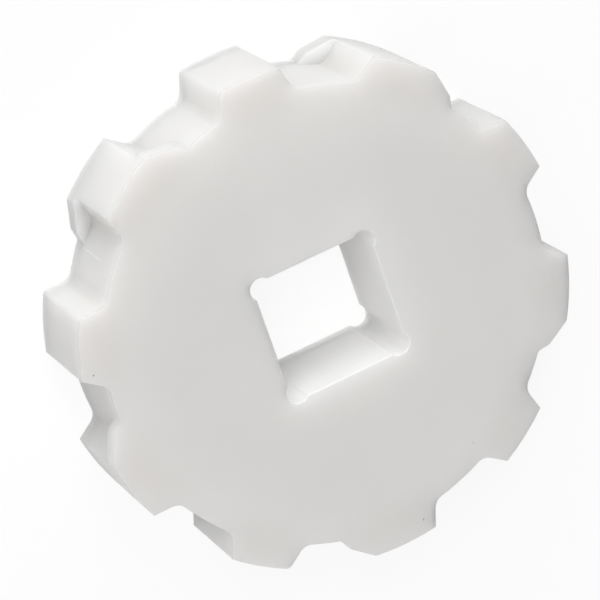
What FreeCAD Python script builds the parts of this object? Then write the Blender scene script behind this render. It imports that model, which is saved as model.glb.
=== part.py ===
import FreeCAD
import Part
import math
import os

# Ten-lobe drive wheel for a modular plastic belt, turned and milled from one disc.
# It lies flat on one face. Z is the shaft's axis, X and Y run along the bore's sides,
# and the origin is the middle of the lower face. Sizes are in millimetres and degrees.

# Blank
outer_radius = 81.0
face_width = 35.0

# Lobes and gullets
lobe_count = 10
first_lobe_angle = 18.0
gullet_depth = 7.9
land_half_angle = 7.0
flank_foot_half_angle = 9.9
gullet_fillet = 4.5
land_corner_radius = 0.4

# Tips worn rounder than the others, each by its lobe's number and the side it is on
worn_tip_radius = 2.0
worn_tips = [(2, 1), (4, -1), (6, 1)]

# Stepped flanks, one at each end of every other lobe
step_depth = 7.0
slope_top_half_angle = 8.3
slope_top_radius = 1.8
slope_kink_depth = 4.6
slope_kink_half_angle = 14.2
slope_foot_half_angle = 16.3
slope_foot_fillet = 1.6

# Square bore with a round relief in each corner
shaft_side = 40.0
shaft_clearance = 0.5
relief_radius = 3.7
relief_inset = 2.5
bore_edge_break = 0.4

# Sizes that follow from the ones above
lobe_pitch = 360.0 / lobe_count
root_radius = outer_radius - gullet_depth
kink_radius = outer_radius - slope_kink_depth
bore_side = shaft_side + shaft_clearance

up = FreeCAD.Vector(0, 0, 1)


def at(radius, angle, height=0.0):
    """Point at a radius and an angle around the shaft's axis."""
    turn = math.radians(angle)
    return FreeCAD.Vector(radius * math.cos(turn), radius * math.sin(turn), height)


def arc(radius, start, end):
    """Arc around the shaft's axis."""
    middle = at(radius, (start + end) / 2)
    return Part.Arc(at(radius, start), middle, at(radius, end)).toShape()


def steep_flank(middle, side):
    """Points of a plain flank, land first."""
    return [
        at(outer_radius, middle + side * land_half_angle),
        at(root_radius, middle + side * flank_foot_half_angle),
    ]


def sloped_flank(middle, side):
    """Points of a stepped lobe's fuller flank, land first."""
    return [
        at(outer_radius, middle + side * slope_top_half_angle),
        at(kink_radius, middle + side * slope_kink_half_angle),
        at(root_radius, middle + side * slope_foot_half_angle),
    ]


def angle_of(point):
    return math.degrees(math.atan2(point.y, point.x))


def arc_between(radius, start_point, end_point):
    """Arc running anticlockwise from one point to the other."""
    start = angle_of(start_point)
    end = angle_of(end_point)
    while end < start:
        end += 360.0
    return arc(radius, start, end)


def layer(sloped_side, bottom, height):
    """One slice of the wheel. Every other lobe is fuller on the given side."""
    lobes = []
    rounded = []
    for number in range(lobe_count):
        middle = first_lobe_angle + lobe_pitch * number
        stepped = number % 2 == 1
        flanks = {}
        for side in (-1, 1):
            fuller = stepped and side == sloped_side
            if fuller:
                points = sloped_flank(middle, side)
                radii = (slope_top_radius, slope_foot_fillet)
            else:
                points = steep_flank(middle, side)
                worn = (number, side) in worn_tips
                tip_radius = worn_tip_radius if worn else land_corner_radius
                radii = (tip_radius, gullet_fillet)
            flanks[side] = points
            rounded.append((points[0], radii[0]))
            rounded.append((points[-1], radii[1]))
        lobes.append(flanks)

    edges = []
    for number in range(lobe_count):
        rise = list(reversed(lobes[number][-1]))
        fall = lobes[number][1]
        following = lobes[(number + 1) % lobe_count][-1][-1]
        for path in (rise, fall):
            for start, end in zip(path[:-1], path[1:]):
                edges.append(Part.makeLine(start, end))
        edges.append(arc_between(outer_radius, rise[-1], fall[0]))
        edges.append(arc_between(root_radius, fall[-1], following))
    outline = Part.Wire(Part.sortEdges(edges)[0])
    slab = Part.Face(outline).extrude(up * height)

    for radius in sorted({size for point, size in rounded}, reverse=True):
        corners = [point for point, size in rounded if size == radius]
        chosen = [edge for edge in slab.Edges if stands_at(edge, corners)]
        if chosen:
            slab = slab.makeFillet(radius, chosen)
    slab.translate(up * bottom)
    return slab


def stands_at(edge, corners):
    """True for an upright edge at one of the given corners."""
    ends = [vertex.Point for vertex in edge.Vertexes]
    if len(ends) != 2:
        return False
    flat = FreeCAD.Vector(ends[0].x, ends[0].y, 0)
    if math.hypot(ends[0].x - ends[1].x, ends[0].y - ends[1].y) > 0.001:
        return False
    return any(flat.distanceToPoint(corner) < 0.01 for corner in corners)


def shaft_bore():
    """Square hole through the wheel, with its corner reliefs."""
    overrun = 1.0
    depth = face_width + 2 * overrun
    half = bore_side / 2
    corner = FreeCAD.Vector(-half, -half, -overrun)
    hole = Part.makeBox(bore_side, bore_side, depth, corner)
    centre = half - relief_inset
    for x in (-centre, centre):
        for y in (-centre, centre):
            foot = FreeCAD.Vector(x, y, -overrun)
            hole = hole.fuse(Part.makeCylinder(relief_radius, depth, foot))
    return hole


def at_bore_mouth(edge):
    """True for an edge where the bore meets one of the two end faces."""
    box = edge.BoundBox
    level = box.ZMax - box.ZMin < 0.001
    low = abs(box.ZMin) < 0.001
    high = abs(box.ZMax - face_width) < 0.001
    inside = max(box.XMax, -box.XMin, box.YMax, -box.YMin) < bore_side / 2 + relief_radius
    return level and inside and (low or high)


def build_sprocket():
    lower = layer(1, 0.0, step_depth)
    middle = layer(0, step_depth, face_width - 2 * step_depth)
    upper = layer(-1, face_width - step_depth, step_depth)
    wheel = lower.fuse([middle, upper]).removeSplitter()
    wheel = wheel.cut(shaft_bore())
    mouth_edges = [edge for edge in wheel.Edges if at_bore_mouth(edge)]
    return wheel.makeChamfer(bore_edge_break, mouth_edges)


sprocket = build_sprocket()
os.makedirs("parts", exist_ok=True)
sprocket.exportStep("parts/sprocket.step")
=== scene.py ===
import bpy
import bmesh
import math
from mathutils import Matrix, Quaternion, Vector


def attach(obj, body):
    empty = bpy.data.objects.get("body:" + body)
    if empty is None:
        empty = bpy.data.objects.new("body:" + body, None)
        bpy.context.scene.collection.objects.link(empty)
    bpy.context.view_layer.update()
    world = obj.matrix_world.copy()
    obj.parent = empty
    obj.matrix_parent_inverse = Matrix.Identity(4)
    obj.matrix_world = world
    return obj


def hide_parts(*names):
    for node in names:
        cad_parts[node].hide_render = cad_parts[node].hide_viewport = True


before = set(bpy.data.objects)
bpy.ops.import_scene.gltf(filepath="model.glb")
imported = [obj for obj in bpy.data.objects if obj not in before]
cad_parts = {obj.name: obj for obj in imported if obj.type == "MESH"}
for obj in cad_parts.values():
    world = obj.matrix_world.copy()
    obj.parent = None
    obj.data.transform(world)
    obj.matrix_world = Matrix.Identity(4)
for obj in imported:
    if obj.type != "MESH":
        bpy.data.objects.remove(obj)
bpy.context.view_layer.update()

# Sizes of the wheel, in metres. RELIEF_REACH is how far the bore's corner reliefs come from
# the axis along X and Y
OUTER_RADIUS = 0.081
FACE_WIDTH = 0.035
RELIEF_REACH = 0.02145
RIM_ROUND = 0.0003

# Colours of the plastic, and of the light and shade painted on it
STOCK = (0.740, 0.734, 0.721, 1)
PALE_STOCK = (0.764, 0.758, 0.745, 1)
# Painted light: the bore walls are painted whiter and a little warmer than the stock, standing in
# for light that reaches them from behind
PAINTED_LIGHT_BORE = (0.97, 0.959, 0.943, 1)
# Painted shade: the end faces' margin towards the rim
PAINTED_SHADE_MARGIN = (0.672, 0.636, 0.611, 1)
BROACHED = (0.76, 0.74, 0.72, 1)
# Painted shade: the corner between the rim and the upper end face
PAINTED_SHADE_CORNER = (0.55, 0.54, 0.52, 1)
# Painted light: the lower corner of the rim
PAINTED_LIGHT_FOOT = (0.94, 0.935, 0.923, 1)
SCUFFED = (0.62, 0.61, 0.59, 1)
CUTTER_LINE = (0.93, 0.925, 0.913, 1)
DIRT = (0.12, 0.11, 0.10, 1)
FAINT_DIRT = (0.3, 0.28, 0.26, 1)

# Specks in the upper face: place, radius, strength and colour
SPECKS = [
    ((-0.07557, 0.01603, FACE_WIDTH), 0.00038, 0.62, DIRT),
    ((0.00676, -0.07601, FACE_WIDTH), 0.00038, 0.62, DIRT),
    ((0.03048, -0.05963, FACE_WIDTH), 0.0006, 0.2, FAINT_DIRT),
]

# Where the cutter's line crosses a gullet, in degrees round the axis
CUTTER_LINE_ANGLE = 143.2

# Floor: its two greys, its half side, how far it lies below the wheel, and the share of
# plain white that the camera sees there
FLOOR_GREYS = [(0.0, (0.73, 0.73, 0.73, 1)), (1.0, (0.76, 0.76, 0.76, 1))]
FLOOR_HALF = 4.0
FLOOR_GAP = 0.0001
WHITE_SHARE = 0.88
WHITE = (1, 1, 1, 1)

# Lamps: name, place, width, height and watts. All of them point at the wheel
LAMP_TARGET = (0, 0, 0.02)
LAMPS = [
    ("high lamp", (0.01, 1.65, 1.33), 1.6, 1.6, 15.3),
    ("front lamp", (-0.42, 0.92, 1.73), 1.6, 1.6, 19.4),
    ("near lamp", (-0.75, 0.04, 1.07), 0.7, 0.7, 3.0),
    ("left lamp", (-1.80, 0.60, 0.62), 1.0, 0.9, 2.6),
    ("low lamp behind", (0.45, 1.87, 0.57), 1.2, 0.8, 14.0),
    ("low lamp aside", (-0.30, -1.88, 0.55), 1.2, 0.8, 13.5),
]

# Camera: lengths in metres, roll in degrees, lens in millimetres
CAMERA_PLACE = (-0.271132, 0.397713, 0.965384)
CAMERA_TARGET = (-0.002547, 0.002162, 0.0175)
CAMERA_ROLL = 123.381
LENS = 205.93
SENSOR_WIDTH = 36.0


class Shade:
    """A number or colour in a material's nodes. Sums on it add their own Math nodes."""

    def __init__(self, tree, socket):
        self.tree = tree
        self.socket = socket

    def _math(self, operation, *values):
        node = self.tree.nodes.new("ShaderNodeMath")
        node.operation = operation
        for place, value in enumerate(values):
            plug(self.tree, value, node.inputs[place])
        return Shade(self.tree, node.outputs[0])

    def __add__(self, other):
        return self._math("ADD", self, other)

    def __radd__(self, other):
        return self._math("ADD", other, self)

    def __sub__(self, other):
        return self._math("SUBTRACT", self, other)

    def __rsub__(self, other):
        return self._math("SUBTRACT", other, self)

    def __mul__(self, other):
        return self._math("MULTIPLY", self, other)

    def __rmul__(self, other):
        return self._math("MULTIPLY", other, self)

    def __pow__(self, other):
        return self._math("POWER", self, other)

    def size(self):
        return self._math("ABSOLUTE", self)

    def most(self, other):
        return self._math("MAXIMUM", self, other)


def plug(tree, value, socket):
    """Links a shade to a socket, or writes a plain value there."""
    if isinstance(value, Shade):
        tree.links.new(value.socket, socket)
    else:
        socket.default_value = value


class Finish:
    """One material and its nodes."""

    def __init__(self, name):
        self.material = bpy.data.materials.new(name)
        self.material.use_nodes = True
        self.tree = self.material.node_tree
        self.tree.nodes.clear()

    def node(self, kind, settings=None, inputs=None, output=0):
        """Adds a node: its settings first, then the values or links of its sockets."""
        made = self.tree.nodes.new(kind)
        for key, value in (settings or {}).items():
            if key == "stops":
                set_stops(made.color_ramp, value)
            else:
                setattr(made, key, value)
        for key, value in (inputs or {}).items():
            plug(self.tree, value, made.inputs[key])
        return Shade(self.tree, made.outputs[output])

    def object_point(self):
        return self.node("ShaderNodeTexCoord", output="Object")

    def parts(self, vector):
        """The X, Y and Z of a vector."""
        split = self.tree.nodes.new("ShaderNodeSeparateXYZ")
        plug(self.tree, vector, split.inputs[0])
        return [Shade(self.tree, split.outputs[axis]) for axis in range(3)]

    def vector(self, x, y, z):
        return self.node("ShaderNodeCombineXYZ", inputs={"X": x, "Y": y, "Z": z})

    def noise(self, point, scale, detail, roughness=0.5):
        return self.node(
            "ShaderNodeTexNoise",
            {"noise_dimensions": "3D"},
            {"Vector": point, "Scale": scale, "Detail": detail, "Roughness": roughness},
            output="Fac",
        )

    def ramp(self, value, stops):
        return self.node("ShaderNodeValToRGB", {"stops": stops}, {"Fac": value})

    def blend(self, share, first, second):
        """Two colours mixed."""
        return self.node(
            "ShaderNodeMix",
            {"data_type": "RGBA", "blend_type": "MIX"},
            {0: share, 6: first, 7: second},
            output=2,
        )

    def step(self, value, low, high):
        """0 below low, 1 above high, smooth between."""
        return self.node(
            "ShaderNodeMapRange",
            {"interpolation_type": "SMOOTHSTEP", "clamp": True},
            {"Value": value, "From Min": low, "From Max": high, "To Min": 0.0, "To Max": 1.0},
        )

    def surface(self, shader):
        end = self.tree.nodes.new("ShaderNodeOutputMaterial")
        self.tree.links.new(shader.socket, end.inputs["Surface"])
        return self.material


def set_stops(ramp, stops):
    while len(ramp.elements) > len(stops):
        ramp.elements.remove(ramp.elements[-1])
    while len(ramp.elements) < len(stops):
        ramp.elements.new(1.0)
    for element, (place, colour) in zip(ramp.elements, stops):
        element.position = place
        element.color = colour


def background_rays(tree):
    """1 for rays that see the white background: straight, in gloss or through glass."""
    path = tree.nodes.new("ShaderNodeLightPath")
    seen = Shade(tree, path.outputs["Is Camera Ray"])
    glossy = Shade(tree, path.outputs["Is Glossy Ray"])
    through = Shade(tree, path.outputs["Is Transmission Ray"])
    return seen.most(glossy).most(through)


class Spot:
    """A point of the wheel, and which kind of surface it is on."""

    def __init__(self, finish):
        self.point = finish.object_point()
        self.x, self.y, self.z = finish.parts(self.point)
        self.radius = (self.x * self.x + self.y * self.y) ** 0.5
        self.span = self.x.size().most(self.y.size())

        half = FACE_WIDTH / 2
        off_middle = (self.z - half).size()
        self.end_face = finish.step(off_middle, half - 0.00012, half - 0.00004)
        off_bore = finish.step(self.span, RELIEF_REACH + 0.0001, RELIEF_REACH + 0.0003)
        self.bore = (1.0 - off_bore) * (1.0 - self.end_face)
        self.rim = (1.0 - self.bore) * (1.0 - self.end_face)


def painted_margin_shade(finish, spot):
    """Painted shade: the end faces are painted a shade greyer and warmer towards the rim."""
    return finish.step(spot.radius, 0.063, 0.077) * spot.end_face


def painted_corner_shade(finish, spot):
    """Painted shade: the corner between the rim and the upper end face is painted a shade darker.
    """
    starts = finish.step(spot.z, FACE_WIDTH - 0.0008, FACE_WIDTH - 0.0003)
    ends = 1.0 - finish.step(spot.z, FACE_WIDTH - 0.00006, FACE_WIDTH - 0.00001)
    clear_of_bore = finish.step(spot.span, RELIEF_REACH + 0.0008, RELIEF_REACH + 0.0010)
    return starts * ends * clear_of_bore


def painted_foot_light(finish, spot):
    """Painted light: the lower corner of the rim is painted whiter."""
    return (1.0 - finish.step(spot.z, 0.0, 0.0040)) * spot.rim


def stopped_light(finish, spot):
    """Light sinks in everywhere but along the lower corner, where a surface without light under
    its skin takes over.
    """
    return (1.0 - finish.step(spot.z, 0.0010, 0.0048)) * (1.0 - spot.end_face)


def handling_scuffs(finish, spot):
    """Fine scuffs, longest across the wheel."""
    along = spot.x * 260.0 + spot.y * 90.0
    across = spot.y * 30.0 - spot.x * 12.0
    scuffs = finish.noise(finish.vector(along, across, spot.z * 150.0), 1.0, 3.0, 0.65)
    return finish.step(scuffs, 0.60, 0.72)


def cutter_line(finish, spot):
    """1 on the thin line that the cutter left across one gullet's floor."""
    turn = math.radians(CUTTER_LINE_ANGLE)
    aside = (spot.x * math.sin(turn) - spot.y * math.cos(turn)).size()
    outward = spot.x * math.cos(turn) + spot.y * math.sin(turn)
    thin = 1.0 - finish.step(aside, 0.0001, 0.00035)
    on_floor = finish.step(outward, 0.06, 0.065)
    on_floor = on_floor * (1.0 - finish.step(spot.radius, 0.0736, 0.0742))
    length = finish.step(spot.z, 0.006, 0.010) * (1.0 - finish.step(spot.z, 0.021, 0.025))
    return thin * on_floor * length


def speck(finish, spot, place, radius):
    """1 inside a small speck in the plastic, 0 outside."""
    away = finish.node(
        "ShaderNodeVectorMath",
        {"operation": "DISTANCE"},
        {0: spot.point, 1: place},
        output="Value",
    )
    return 1.0 - finish.step(away, radius * 0.6, radius)


def natural_white_plastic():
    """Milled natural plastic: off-white and satin, with light that spreads under its skin."""
    finish = Finish("natural white plastic")
    spot = Spot(finish)
    x, y, z = spot.x, spot.y, spot.z

    # Clouds in the stock, a broached bore, a milled rim and turned end faces
    clouds = finish.noise(spot.point, 22.0, 2.0, 0.45)
    grain = finish.noise(spot.point, 1800.0, 2.0)
    broach_lines = finish.noise(finish.vector(x * 1100.0, y * 1100.0, z * 14.0), 1.0, 2.0, 0.6)
    cutter_marks = finish.noise(finish.vector(x * 700.0, y * 700.0, z * 12.0), 1.0, 2.0)
    turned_rings = finish.noise(finish.vector(spot.radius * 1300.0, 0.0, z), 1.0, 1.0)
    deep_lines = finish.step(broach_lines, 0.52, 0.66) * spot.bore

    colour = finish.ramp(clouds, [(0.3, STOCK), (0.7, PALE_STOCK)])
    # Painted light: the bore is painted whiter than the stock
    colour = finish.blend(spot.bore, colour, PAINTED_LIGHT_BORE)
    # Painted shade: the end faces are painted greyer and warmer towards the rim
    colour = finish.blend(painted_margin_shade(finish, spot) * 0.42, colour, PAINTED_SHADE_MARGIN)
    colour = finish.blend(deep_lines * 0.06, colour, BROACHED)
    # Painted shade: the upper corner of the rim is painted darker; this colour has no painted foot
    # light yet
    colour_without_foot_light = finish.blend(painted_corner_shade(finish, spot) * 0.5, colour, PAINTED_SHADE_CORNER)

    scuffed = handling_scuffs(finish, spot)
    line = cutter_line(finish, spot)
    # Painted light: the lower corner of the rim is painted whiter
    colour = finish.blend(painted_foot_light(finish, spot) * 0.9, colour_without_foot_light, PAINTED_LIGHT_FOOT)
    colour = finish.blend(scuffed * 0.02, colour, SCUFFED)
    colour = finish.blend(line * 0.5, colour, CUTTER_LINE)
    for place, radius, strength, tone in SPECKS:
        colour = finish.blend(speck(finish, spot, place, radius) * strength, colour, tone)

    marks = broach_lines * spot.bore * 0.6 + cutter_marks * spot.rim * 0.7
    marks = marks + turned_rings * spot.end_face * 0.6
    relief = finish.node(
        "ShaderNodeBump",
        inputs={
            "Strength": 0.14,
            "Distance": 0.00006,
            "Height": marks + grain * 0.3 + line * 0.6 - scuffed * 0.15,
        },
    )

    skin = {
        "Base Color": colour,
        "Roughness": 0.42 + clouds * 0.08 + grain * 0.06 + scuffed * 0.05,
        "IOR": 1.5,
        "Specular IOR Level": 0.35,
        "Normal": relief,
    }
    milky = finish.node(
        "ShaderNodeBsdfPrincipled",
        {"subsurface_method": "RANDOM_WALK"},
        {
            **skin,
            "Subsurface Weight": 1.0,
            "Subsurface Radius": (1.0, 0.97, 0.94),
            "Subsurface Scale": 0.022,
        },
    )
    chalky = finish.node("ShaderNodeBsdfPrincipled", inputs={**skin, "Base Color": colour_without_foot_light})
    shader = finish.node(
        "ShaderNodeMixShader",
        inputs={0: stopped_light(finish, spot), 1: milky, 2: chalky},
    )
    return finish.surface(shader)


def white_floor():
    """Plain white floor that keeps a soft shadow of the wheel."""
    finish = Finish("white floor")
    direct = background_rays(finish.tree)
    mottle = finish.noise(finish.object_point(), 3.0, 2.0)
    colour = finish.blend(direct, finish.ramp(mottle, FLOOR_GREYS), WHITE)
    matt = finish.node("ShaderNodeBsdfDiffuse", inputs={"Color": colour})
    paper = finish.node("ShaderNodeEmission", inputs={"Color": WHITE, "Strength": 1.0})
    shader = finish.node(
        "ShaderNodeMixShader",
        inputs={0: direct * WHITE_SHARE, 1: matt, 2: paper},
    )
    return finish.surface(shader)


def show(form, name, material):
    """Turns a finished bmesh into an object with smooth shading."""
    mesh = bpy.data.meshes.new(name)
    form.to_mesh(mesh)
    form.free()
    mesh.materials.append(material)
    for face in mesh.polygons:
        face.use_smooth = True
        face.material_index = 0
    made = bpy.data.objects.new(name, mesh)
    bpy.context.scene.collection.objects.link(made)
    return made


def along_rim(edge):
    """True for an edge where the rim meets one of the two end faces."""
    level = 0.000002
    for vertex in edge.verts:
        off_ends = min(abs(vertex.co.z), abs(vertex.co.z - FACE_WIDTH))
        if off_ends > level or vertex.co.xy.length < OUTER_RADIUS * 0.7:
            return False
    return edge.calc_face_angle(0.0) > math.radians(30)


def soft_edged_wheel(solid, material):
    """The wheel with the rim's edges along both end faces worn to a small round."""
    form = bmesh.new()
    form.from_mesh(solid.data)
    bmesh.ops.remove_doubles(form, verts=form.verts, dist=0.000001)
    nearly_flat = math.radians(0.4)
    bmesh.ops.dissolve_limit(form, angle_limit=nearly_flat, verts=form.verts, edges=form.edges)
    bmesh.ops.bevel(
        form,
        geom=[edge for edge in form.edges if along_rim(edge)],
        offset=RIM_ROUND,
        offset_type="OFFSET",
        affect="EDGES",
        segments=3,
        profile=0.5,
        material=-1,
        clamp_overlap=False,
    )
    bmesh.ops.recalc_face_normals(form, faces=form.faces)
    for edge in form.edges:
        edge.smooth = edge.calc_face_angle(0.0) < math.radians(40)
    wheel = show(form, "sprocket_wheel", material)
    even = wheel.modifiers.new("even shading", "WEIGHTED_NORMAL")
    even.weight = 50
    even.keep_sharp = True
    return wheel


def aimed(name, data, place, target, roll=0.0):
    """Adds a lamp or camera that looks from a place at a target."""
    holder = bpy.data.objects.new(name, data)
    bpy.context.scene.collection.objects.link(holder)
    holder.location = place
    holder.rotation_mode = "QUATERNION"
    aim = (Vector(target) - Vector(place)).to_track_quat("-Z", "Y")
    holder.rotation_quaternion = aim @ Quaternion((0, 0, 1), math.radians(roll))
    return holder


def area_lamp(name, place, width, height, watts):
    lamp = bpy.data.lights.new(name, "AREA")
    lamp.shape = "RECTANGLE"
    lamp.size = width
    lamp.size_y = height
    lamp.energy = watts
    aimed(name, lamp, place, LAMP_TARGET)


def white_world():
    """World that shows white to the camera and sheds no light."""
    world = bpy.data.worlds.new("white studio")
    bpy.context.scene.world = world
    world.use_nodes = True
    tree = world.node_tree
    tree.nodes.clear()
    sky = tree.nodes.new("ShaderNodeBackground")
    sky.inputs["Color"].default_value = WHITE
    plug(tree, background_rays(tree), sky.inputs["Strength"])
    end = tree.nodes.new("ShaderNodeOutputWorld")
    tree.links.new(sky.outputs[0], end.inputs["Surface"])


def studio():
    """Floor, white world and soft lamps."""
    form = bmesh.new()
    bmesh.ops.create_grid(form, x_segments=4, y_segments=4, size=FLOOR_HALF)
    bmesh.ops.translate(form, verts=form.verts, vec=(0, 0, -FLOOR_GAP))
    floor = show(form, "floor", white_floor())
    white_world()
    for lamp in LAMPS:
        area_lamp(*lamp)


def camera():
    """Long lens, looking down on the wheel a little from one side, turned as the photograph is."""
    lens = bpy.data.cameras.new("camera")
    lens.sensor_width = SENSOR_WIDTH
    lens.lens = LENS
    lens.clip_start = 0.01
    lens.clip_end = 20.0
    holder = aimed("camera", lens, CAMERA_PLACE, CAMERA_TARGET, CAMERA_ROLL)
    bpy.context.scene.camera = holder


camera()
plastic = natural_white_plastic()
wheel = soft_edged_wheel(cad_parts["sprocket"], plastic)
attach(wheel, "root")
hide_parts("sprocket")
studio()
bpy.context.scene.view_settings.view_transform = "Standard"
